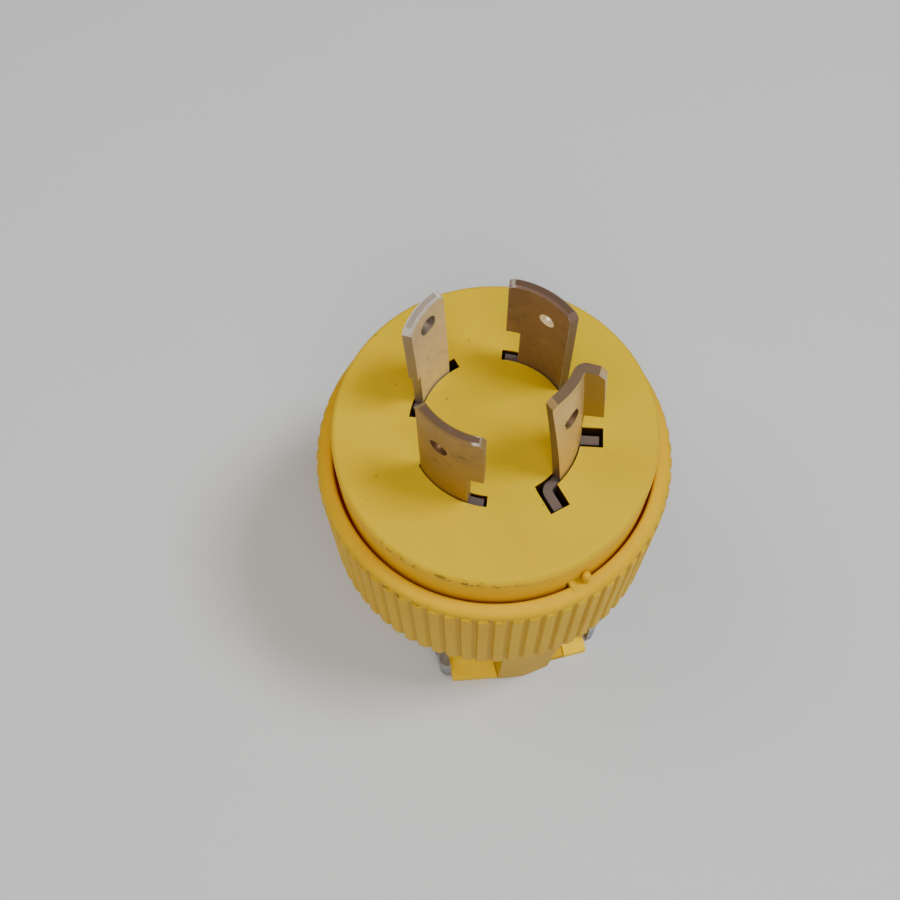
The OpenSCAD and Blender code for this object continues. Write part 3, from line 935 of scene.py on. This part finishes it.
class Finishes:
    """Every finish of the plug, made once and shared."""

    def __init__(self) -> None:
        """Make the finishes."""
        self.face = Nylon(
            "yellow_nylon_face", body=(0.645, 0.455, 0.0), deep=(0.64, 0.41, 0.0), grime_and_shade=0.2, rim=(25.5, 60.0),
            specks=0.5, pits=FACE_TOP, seed=1.0, wall_shade=0.9,
        ).build()
        self.collar = Nylon(
            "yellow_nylon_collar", grime_and_shade=0.5, rim=(28.6, 51.3), specks=0.5, seed=3.0, grooves=28.85
        ).build()
        # painted light: the jaws' nylon is a brighter copy of the face's, standing in for the light on their toes
        self.jaws = Nylon(
            "yellow_nylon_jaws_brightened", body=(1.0, 0.70, 0.0), deep=(0.96, 0.62, 0.0), grime_and_shade=0.4, specks=0.3, seed=5.0
        ).build()
        self.line_x = Blade(
            "brown_brass", metal=(0.34, 0.215, 0.170), tarnish=(0.23, 0.140, 0.105), stain=(0.080, 0.052, 0.040),
            ends=(0.17, 0.115, 0.08), crown=(0.105, 0.062, 0.040), hole=(37.4, 77.2, 1.2),
            hole_light_and_shade=(1.0, 0.86, 0.62), glint=(63.8, 66.0), shine=0.8, cover=0.6, seed=1.0,
        ).build()
        self.line_y = Blade(
            "ochre_brass", metal=(0.40, 0.25, 0.080), tarnish=(0.31, 0.18, 0.055), stain=(0.12, 0.07, 0.030),
            ends=(0.36, 0.24, 0.10), crown=(0.11, 0.066, 0.046), hole=(-143.7, 76.2, 1.5),
            hole_light_and_shade=(0.16, 0.075, 0.03), glint=(-120.5, -117.0), shine=0.9, cover=0.45, seed=2.0,
        ).build()
        self.neutral = Blade(
            "plated_brass", metal=(0.92, 0.80, 0.68), tarnish=(0.74, 0.61, 0.46), stain=(0.30, 0.21, 0.13),
            ends=(0.25, 0.20, 0.15), crown=(0.42, 0.36, 0.31), hole=(127.7, 78.9, 1.55),
            hole_light_and_shade=(0.20, 0.165, 0.135), glint=(108.0, 152.0), shine=1.0, cover=0.4, dull=0.34, seed=3.0,
        ).build()
        self.ground = Blade(
            "gold_brass", metal=(0.80, 0.56, 0.20), tarnish=(0.62, 0.42, 0.15), stain=(0.26, 0.17, 0.09),
            ends=(0.13, 0.072, 0.05), crown=(0.11, 0.068, 0.052), hole=(-42.4, 75.6, 1.55),
            hole_light_and_shade=(0.14, 0.085, 0.04), glint=(-36.0, -22.0), shine=0.3, leg=(0.30, 0.19, 0.03), cover=0.35,
            seed=4.0,
        ).build()
        self.bars = Zinc("zinc_bars", Shine.ROLLED, 1.0).build()
        self.screws = Zinc("zinc_screws", Shine.TURNED, 2.0).build()
        self.block = Phenolic().build()
        self.floor = Paper().build()


def dress(piece: bpy.types.Object, finish: bpy.types.Material, slot: str, *nodes: str) -> bpy.types.Object:
    """Give a new piece its finish, its body and the solids that it stands for.

    Args:
        piece: The piece.
        finish: Its material.
        slot: Name of the material slot in the record; not used.
        nodes: The solids of the frame that it stands for.

    Returns:
        The piece.
    """
    piece.data.materials.clear()
    piece.data.materials.append(finish)
    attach(piece, "root")
    if nodes:
        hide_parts(*nodes)
    LOG.info("%s: %d faces", piece.name, len(piece.data.polygons))
    return piece


def redress(node: str, finish: bpy.types.Material) -> None:
    """Give a solid of the frame a better material."""
    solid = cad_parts[node]
    for index in range(len(solid.material_slots)):
        solid.material_slots[index].material = finish
    if not solid.material_slots:
        solid.data.materials.append(finish)


@dataclass
class Slots:
    """The four openings of the face, which the blades stand in. Angles are in degrees."""

    inner: float = 11.65
    outer: float = 13.45
    centres: tuple[float, float, float] = (LINE_X_WAY, NEUTRAL_WAY, LINE_Y_WAY)
    span: float = SLOT_SPAN
    ground: Flat = (-74.5, -18.0)
    legs: tuple[Flat, Flat] = ((-18.0, -1.05), (-76.0, 1.9))
    leg_width: float = 3.3
    leg_reach: float = 16.7

    def cutters(self, bottom: float, top: float) -> list[bpy.types.Object]:
        """Make the bodies that cut the slots out of the face."""
        section = [(self.inner, bottom), (self.outer, bottom), (self.outer, top), (self.inner, top)]
        spans = [(c - self.span / 2, self.span) for c in self.centres]
        spans.append((self.ground[0], self.ground[1] - self.ground[0]))
        made = [Bench.sector("slot", section, start, span, 36) for start, span in spans]
        length = (self.inner + 0.5, self.leg_reach)
        for way, side in self.legs:
            made.append(Bench.spoke("leg", way, side, length, self.leg_width, (bottom, top)))
        return made


@dataclass
class FaceDisc:
    """The thick round face that carries the blades."""

    radius: float = 25.5
    top: float = FACE_TOP
    plate: float = 51.0
    skirt: float = 42.2
    wall: float = 3.0
    edge: float = 0.95
    notch_depth: float = 1.35
    notch_width: float = 4.1
    notch_top: float = 53.95
    slots: Slots = field(default_factory=Slots)

    def build(self, finish: bpy.types.Material) -> bpy.types.Object:
        """Model the disc and dress it."""
        r, t, e = self.radius, self.top, self.edge
        profile: list[Flat] = [(0, self.plate), (r - self.wall, self.plate), (r - self.wall, self.skirt)]
        profile += [(r, self.skirt), *quarter((r - e, t - e), e, 0, 90, 6)]
        profile += [(20.0, t), (0, t)]
        disc = Bench.lathe("face_body", profile, 192)
        Bench.cut(disc, *self.slots.cutters(self.plate - 1, t + 1))
        heights = (self.skirt - 1, self.notch_top)
        Bench.cut(disc, Bench.spoke("notch", KEY_WAY, 0, (r - self.notch_depth, r + 1), self.notch_width, heights))
        Bench.soften(disc, 0.14, 50, 2)
        return dress(disc, finish, "yellow_nylon", "face_disc")


@dataclass
class Shell:
    """The ribbed collar, its neck and its two buttresses."""

    rim: float = 53.3
    shoulder: float = 25.8
    bore: float = 26.0
    outer: float = 28.35
    ribs: int = 68
    rib_rise: float = 0.5
    neck: float = 15.5
    entry: float = 12.5
    neck_bottom: float = 11.0
    floor: float = 29.0
    chamber: float = 24.0
    ledge: float = 42.0
    columns: int = 8
    ridge: float = 26.4
    facet: float = 8.0
    screw_y: float = 17.4
    screw_z: float = 5.0
    screw_hole: float = 2.2
    post_x: float = 19.5
    post_hole: float = 1.9

    def collar(self) -> bpy.types.Object:
        """Spin the collar, the chamber and the neck, then press the grooves between its ribs."""
        top, out, rise = self.rim, self.outer, self.rib_rise
        outside: list[Flat] = quarter((self.neck + 2, self.shoulder - 2), 2, 180, 90, 4)
        outside += [(22.0, self.shoulder), (out - 0.5, self.shoulder), (out + rise - 0.25, self.shoulder + 0.15)]
        outside += [(out + rise, self.shoulder + 0.6), (out + rise, 34.0), (out + rise, 43.0)]
        outside += [(out + rise, 51.0), (out + rise - 0.05, 51.25), (out + 0.16, 51.6)]
        crown = quarter((out + 0.14 - 1.4, top - 1.4), 1.4, 0, 90, 7)
        crown += quarter((self.bore + 0.6, top - 0.6), 0.6, 90, 180, 4)
        inside: list[Flat] = [(self.bore, self.ledge), (self.chamber, self.ledge), (self.chamber, self.floor)]
        inside += [(self.entry + 0.4, self.floor), (self.entry, self.floor - 0.4)]
        inside += [(self.entry, self.neck_bottom + 0.4), (self.entry + 0.4, self.neck_bottom)]
        inside += [(self.neck - 0.4, self.neck_bottom), (self.neck, self.neck_bottom + 0.4)]
        shell = Bench.lathe("collar_shell", outside + crown + inside, self.ribs * self.columns, ring=True)
        depth = {0: rise * 0.9, 1: rise * 0.9, 7: rise * 0.45}
        pitch = math.tau / (self.ribs * self.columns)
        for column, fall in depth.items():
            Bench.edit(shell)

            def groove(p: Vector, column: int = column) -> bool:
                """Tell whether a point lies on this line of the ribs."""
                index = round(math.atan2(p.y, p.x) / pitch) % self.columns
                return index == column and p.xy.length > out + 0.05 and self.shoulder - 0.1 < p.z < 51.4

            Bench.choose(shell, groove)
            shrink = (out + rise - fall) / (out + rise)
            bpy.ops.transform.resize(value=(shrink, shrink, 1), center_override=(0, 0, 0))
            Bench.done()
        Bench.edit(shell)
        Bench.choose(shell, lambda p: p.xy.length < self.bore + 0.7 and p.z > self.ledge - 0.1)
        bpy.ops.transform.translate(value=Vector(polar(0.06, 165)) * MM)
        Bench.done()
        return shell

    def bolt_hole(self, start: float, side: Side) -> bpy.types.Object:
        """Make the rod that drills the way of a clamp screw, from a place along X."""
        y = side.value * self.screw_y
        return Bench.rod("hole", (start, y, self.screw_z), (12, y, self.screw_z), self.screw_hole)

    def buttress(self, side: Side) -> bpy.types.Object:
        """Model one of the two legs that reach down to the foot."""
        half, flare, top, s = 5.1, 5.0, self.shoulder + 0.6, side.value
        left = quarter((-half - flare, self.shoulder - flare), flare, 90, 0, 8)
        right = quarter((half + flare, self.shoulder - flare), flare, 180, 90, 8)
        outline = [(-half, 0.0), (half, 0.0)] + right + [(half + flare, top), (-half - flare, top)] + left
        leg = Bench.prism("leg", [(x, s * 13.9, z) for x, z in outline], (0, s * 14.5, 0))
        for turn in (-self.facet, self.facet):
            Bench.edit(leg)
            bpy.ops.mesh.select_all(action="SELECT")
            slope = math.atan2(2.0, self.shoulder)
            normal = Vector((math.sin(math.radians(turn)), s * math.cos(math.radians(turn)), -math.tan(slope)))
            bpy.ops.mesh.bisect(
                plane_co=Vector((0, s * self.ridge, 0)) * MM,
                plane_no=normal.normalized(),
                use_fill=True,
                clear_outer=True,
            )
            Bench.done()
        Bench.cut(leg, self.bolt_hole(-12, side))
        return Bench.soften(leg, 0.4, 30, 3)

    def guide(self, side: Side) -> bpy.types.Object:
        """Model one of the low ledges that guide the right jaw."""
        s = side.value
        outline = [(self.screw_y, 0), (self.screw_y, 3.4), (20.8, 3.4), (TOE, 1.9), (TOE, 0)]
        ledge = Bench.prism("ledge", [(4.2, s * y, z) for y, z in outline], (4.1, 0, 0))
        Bench.cut(ledge, self.bolt_hole(0, side))
        return Bench.soften(ledge, 0.3, 40, 3)

    def key(self) -> bpy.types.Object:
        """Model the key that bridges the gap to the face."""
        tab = Bench.spoke("tab", KEY_WAY, 0, (24.55, 27.3), 3.4, (47.0, 53.45))
        Bench.soften(tab, 0.3, 40, 3)
        pip = Bench.rod("pip", polar(26.25, -73.2, 51.0), polar(26.25, -73.2, 56.3), 0.68, 24)
        Bench.edit(pip, "FACE")
        Bench.choose(pip, lambda p: p.z > 56.2)
        bpy.ops.mesh.bevel(offset=0.6 * MM, segments=5, affect="EDGES")
        Bench.done()
        Bench.pick(pip)
        bpy.ops.object.shade_smooth()
        Bench.pick(tab, pip)
        bpy.ops.object.join()
        return bpy.context.object

    def posts(self) -> list[bpy.types.Object]:
        """Model the two posts that the assembly screws pass through."""
        made = []
        for s in (-1, 1):
            x = s * self.post_x
            post = Bench.rod("post", (x, 0, 28.5), (x, 0, 36.9), 3.7, 48)
            hole = Bench.rod("hole", (x, 0, 27), (x, 0, 40), self.post_hole)
            made.append(Bench.soften(Bench.cut(post, hole), 0.2, 40, 2))
        return made

    def build(self, finish: bpy.types.Material) -> bpy.types.Object:
        """Model the shell and dress it."""
        shell = self.collar()
        for s in (-1, 1):
            x = s * self.post_x
            sink = Bench.rod("sink", (x, 0, 20), (x, 0, 28), 3.3, 48)
            hole = Bench.rod("hole", (x, 0, 27), (x, 0, 30), self.post_hole)
            Bench.cut(shell, sink, hole)
        Bench.level(shell, 34)
        legs = [self.buttress(side) for side in Side]
        guides = [self.guide(side) for side in Side]
        Bench.pick(*legs, *guides, self.key(), *self.posts(), shell)
        bpy.ops.object.join()
        return dress(bpy.context.object, finish, "yellow_nylon", "outer_shell")


def tip_mitre(way: float, size: float) -> bpy.types.Object:
    """Make the body that cuts a corner off the top of a blade.

    Args:
        way: Angle of the blade's end, in degrees.
        size: Half the width of the square body, in millimetres.

    Returns:
        The cutting body.
    """
    mitre = Bench.block("mitre", (10, -size, -size), (15, size, size))
    mitre.data.transform(Matrix.Rotation(math.radians(45), 4, "X"))
    mitre.data.transform(Matrix.Translation((0, 0, BLADE_TIP * MM)))
    mitre.data.transform(Matrix.Rotation(math.radians(way), 4, "Z"))
    return mitre


def tip_hole(hole: Point) -> bpy.types.Object:
    """Make the rod that drills a blade's hole, from its angle, height and radius."""
    way, height, radius = hole
    return Bench.rod("hole", polar(9, way, height), polar(16, way, height), radius)


def terminal_foot(way: float, strips: int) -> bpy.types.Object:
    """Model the flat foot that holds a blade to its terminal.

    Args:
        way: Direction of the foot, in degrees.
        strips: Number of strips in its rounded edges.

    Returns:
        The foot.
    """
    foot = Bench.spoke("foot", way, 0, (12.55, 20.3), 9.6, (BLADE_FOOT, 51.0))
    Bench.cut(foot, Bench.rod("hole", polar(16.9, way, 48), polar(16.9, way, 52), 1.95))
    return Bench.soften(foot, 0.2, 40, strips)


@dataclass
class HookedBlade:
    """A curved contact blade with a locking notch. Lengths in millimetres, angles in degrees."""

    name: str
    node: str
    slot: str
    centre: float
    span: float
    hole: Point
    notch: float = 10.5
    end_gap: float = 2.2
    corner: float = 0.6
    bevel: float = 0.32
    short: float = 0.0
    push: Flat = (0.0, 0.0)

    def build(self, finish: bpy.types.Material) -> bpy.types.Object:
        """Model the blade and dress it."""
        end = self.centre + SLOT_SPAN / 2 - self.end_gap - self.short
        start = end - self.span
        b = self.bevel
        section = [(BLADE_INNER, BLADE_FOOT), (BLADE_OUTER, BLADE_FOOT), (BLADE_OUTER, BLADE_TIP - b)]
        section += [(BLADE_OUTER - b, BLADE_TIP), (BLADE_INNER + b, BLADE_TIP), (BLADE_INNER, BLADE_TIP - b)]
        blade = Bench.sector(self.name, section, start, self.span, 30)
        bite = [(10.5, 60.0), (14.5, 60.0), (14.5, NOTCH_TOP), (10.5, NOTCH_TOP)]
        Bench.cut(blade, Bench.sector("bite", bite, end - self.notch, self.notch + 5, 8))
        for angle in (start, end):
            Bench.cut(blade, tip_mitre(angle, self.corner))
        Bench.cut(blade, tip_hole(self.hole))
        Bench.soften(blade, 0.2, 35, 3)
        if self.push != (0.0, 0.0):
            Bench.bend(blade, FACE_TOP - 1, BLADE_TIP, self.push)
        Bench.pick(terminal_foot(self.centre, 2), blade)
        bpy.ops.object.join()
        return dress(bpy.context.object, finish, self.slot, self.node)


@dataclass
class GroundBlade:
    """The bent blade with an outward leg, which leans towards the middle."""

    base: float = 60.0
    start: float = -56.5
    end: float = -19.5
    leg_way: float = -18.0
    leg_side: float = -1.05
    leg_reach: float = 16.2
    rear_way: float = -76.0
    rear_side: float = 1.9
    turn_in: float = -29.0
    fold: float = 1.15
    corner: float = 0.6
    lean: float = 1.2
    lean_way: float = 137.0
    twist: float = 12.5
    hole: Point = (-42.4, 75.6, 1.55)

    def plan(self, start: float, end: float, way: float, side: float) -> list[Flat]:
        """Draw the leaf and one of its legs from above.

        Args:
            start: Angle of the leaf's free end.
            end: Angle at which the leaf turns into the leg.
            way: Direction of the leg.
            side: Distance of the leg's middle line from the axis.

        Returns:
            The outline's corners.
        """
        middle = (BLADE_INNER + BLADE_OUTER) / 2
        out = math.sqrt(middle**2 - side**2)
        corner = Matrix.Rotation(math.radians(way), 2) @ Vector((out, side))
        line = quarter((0.0, 0.0), middle, start, end, 20)
        line = bent(line, tuple(corner), way, self.leg_reach - out, self.fold)
        return ribbon(line, BLADE_OUTER - BLADE_INNER)

    def sheet(self, name: str, plan: Sequence[Flat], bottom: float, height: float) -> bpy.types.Object:
        """Raise an outline that was drawn from above.

        Args:
            name: Name of the new piece.
            plan: The outline.
            bottom: Height at which it starts.
            height: How tall it gets.

        Returns:
            The closed piece.
        """
        return Bench.prism(name, [(x, y, bottom) for x, y in plan], (0, 0, height))

    def build(self, finish: bpy.types.Material) -> bpy.types.Object:
        """Model the blade and dress it."""
        leaf = self.plan(self.start, self.turn_in, self.leg_way, self.leg_side)
        upper = self.sheet("ground_blade", leaf, self.base, BLADE_TIP - self.base)
        gap = Bench.spoke("gap", self.leg_way, self.leg_side, (13.32, 18), 4, (self.base - 1, NOTCH_TOP))
        Bench.cut(upper, gap)
        nose = Bench.spoke("nose", self.leg_way, self.leg_side, (-0.7, 0.7), 4, (-0.7, 0.7))
        nose.data.transform(Matrix.Rotation(math.radians(-self.leg_way), 4, "Z"))
        nose.data.transform(Matrix.Rotation(math.radians(45), 4, "Y"))
        nose.data.transform(Matrix.Translation((self.leg_reach * MM, 0, BLADE_TIP * MM)))
        nose.data.transform(Matrix.Rotation(math.radians(self.leg_way), 4, "Z"))
        Bench.cut(upper, nose)
        Bench.cut(upper, tip_mitre(self.start, self.corner), tip_hole(self.hole))
        Bench.soften(upper, 0.38, 35, 4)
        push, pivot = polar(self.lean, self.lean_way)[:2], polar(12.55, self.end)[:2]
        Bench.bend(upper, self.base, BLADE_TIP, push, self.twist, pivot)
        lower = self.sheet("root", self.plan(-24.0, -60.0, self.rear_way, self.rear_side), 49.8, 10.0)
        rear = self.sheet("root", self.plan(-36.0, self.turn_in, self.leg_way, self.leg_side), 49.8, 10.0)
        Bench.join(lower, rear)
        Bench.soften(lower, 0.3, 40, 3)
        Bench.pick(lower, terminal_foot(GROUND_WAY, 3), upper)
        bpy.ops.object.join()
        return dress(bpy.context.object, finish, "gold_brass", "blade_ground")


@dataclass
class CordClamp:
    """The jaws, bars and screws at the foot."""

    round_over: float = 0.45
    bar_edge: float = 0.3
    screw_edge: float = 0.3
    screw_end: float = -16.0
    screw_cut: float = 1.0

    def skew(self, jaw: bpy.types.Object) -> None:
        """Turn the front of a toe a little, as the jaw sits askew."""
        for x, push in ((-13.6, 0.95), (-5.3, -0.6)):
            Bench.edit(jaw)
            Bench.choose(jaw, lambda p, x=x: abs(p.x - x) < 0.6 and p.y < 0.3 - TOE)
            bpy.ops.transform.translate(value=(0, push * MM, 0))
            Bench.done()

    def build(self, finishes: Finishes) -> list[bpy.types.Object]:
        """Model the clamp's pieces and dress them."""
        made = []
        for node in ("clamp_jaw_left", "clamp_jaw_right"):
            jaw = Bench.copy_of(node, f"{node}_body")
            if node == "clamp_jaw_left":
                self.skew(jaw)
            Bench.soften(jaw, self.round_over, 40, 3)
            made.append(dress(jaw, finishes.jaws, "yellow_nylon", node))
        for node in ("clamp_bar_left", "clamp_bar_right"):
            bar = Bench.soften(Bench.copy_of(node, f"{node}_body"), self.bar_edge, 40, 3)
            made.append(dress(bar, finishes.bars, "zinc_steel", node))
        for node in ("clamp_screw_front", "clamp_screw_back"):
            screw = Bench.copy_of(node, f"{node}_body")
            Bench.edit(screw)
            Bench.choose(screw, lambda p: p.x < self.screw_end)
            bpy.ops.transform.translate(value=(self.screw_cut * MM, 0, 0))
            Bench.done()
            Bench.soften(screw, self.screw_edge, 40, 3)
            made.append(dress(screw, finishes.screws, "zinc_steel", node))
        return made


@dataclass
class Inside:
    """What is closed in: the block, its plates and the hidden screws."""

    def build(self, finishes: Finishes) -> None:
        """Give the hidden solids their finishes."""
        redress("terminal_block", finishes.block)
        for end in ("x", "y", "neutral", "ground"):
            redress(f"terminal_screw_{end}", finishes.screws)
            redress(f"pressure_plate_{end}", finishes.bars)
        for end in ("left", "right"):
            redress(f"assembly_screw_{end}", finishes.screws)


# ---------------------------------------------------------------- the studio


@dataclass
class Studio:
    """The floor, the lights and the camera."""

    camera_at: Point = (-22.88, -70.42, 222.87)
    aim: Point = (-7.5995, -1.5103, 59.4616)
    roll: float = 2.03
    lens: float = 46.0

    def floor(self, finish: bpy.types.Material) -> None:
        """Lay the floor."""
        Bench.clear()
        bpy.ops.mesh.primitive_plane_add(size=4.0, location=(0, 0, 0))
        ground = bpy.context.object
        ground.name = "floor"
        ground.data.materials.append(finish)

    def camera(self) -> None:
        """Set up the camera."""
        Bench.clear()
        bpy.ops.object.camera_add(location=Vector(self.camera_at) * MM)
        eye = bpy.context.object
        eye.data.lens = self.lens
        eye.data.clip_start = 0.005
        way = (Vector(self.aim) - Vector(self.camera_at)).normalized()
        look = way.to_track_quat("-Z", "Y").to_matrix().to_4x4()
        look = look @ Matrix.Rotation(math.radians(-self.roll), 4, "Z")
        eye.matrix_world = Matrix.Translation(Vector(self.camera_at) * MM) @ look
        bpy.context.scene.camera = eye

    def lamp(self, name: str, place: Point, size: float, power: float, colour: Colour) -> None:
        """Hang a square light that faces the plug."""
        Bench.clear()
        bpy.ops.object.light_add(type="AREA", location=Vector(place) * MM)
        light = bpy.context.object
        light.name = name
        light.data.size = size * MM
        light.data.energy = power
        light.data.color = colour
        way = Vector((0, 0, 60)) - Vector(place)
        light.rotation_euler = way.to_track_quat("-Z", "Y").to_euler()

    def lights(self) -> None:
        """Hang the lights."""
        self.lamp("key", (330, -90, 760), 190, 4.3, (0.97, 1.0, 1.0))
        self.lamp("front", (-70, -380, 640), 420, 2.4, (1.0, 0.90, 0.78))
        self.lamp("back", (-330, 200, 620), 420, 1.6, (1.0, 0.88, 0.74))
        world = bpy.data.worlds.new("room")
        bpy.context.scene.world = world
        world.use_nodes = True
        sky = world.node_tree.nodes["Background"]
        sky.inputs["Color"].default_value = (1.0, 0.86, 0.70, 1.0)
        sky.inputs["Strength"].default_value = 0.18

    def build(self, finishes: Finishes) -> None:
        """Set up the studio."""
        self.floor(finishes.floor)
        self.camera()
        self.lights()


def main() -> None:
    """Build the plug, dress it and light it."""
    logging.basicConfig(level=logging.INFO, format="%(name)s: %(message)s")
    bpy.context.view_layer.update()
    finishes = Finishes()
    FaceDisc().build(finishes.face)
    Shell().build(finishes.collar)
    line_x = HookedBlade("line_x_blade", "blade_line_x", "browned_brass", LINE_X_WAY, 51.0, hole=(37.4, 77.2, 1.2))
    line_x.build(finishes.line_x)
    line_y = HookedBlade("line_y_blade", "blade_line_y", "ochre_brass", LINE_Y_WAY, 51.0, hole=(216.3, 76.2, 1.5))
    line_y.build(finishes.line_y)
    neutral = HookedBlade(
        "neutral_blade", "blade_neutral", "plated_brass", NEUTRAL_WAY, 38.0, hole=(128.6, 78.9, 1.5), notch=4.8,
        short=6.3, push=(-0.4, 0.9),
    )
    neutral.build(finishes.neutral)
    GroundBlade().build(finishes.ground)
    CordClamp().build(finishes)
    Inside().build(finishes)
    Studio().build(finishes)


if __name__ == "__main__":
    main()
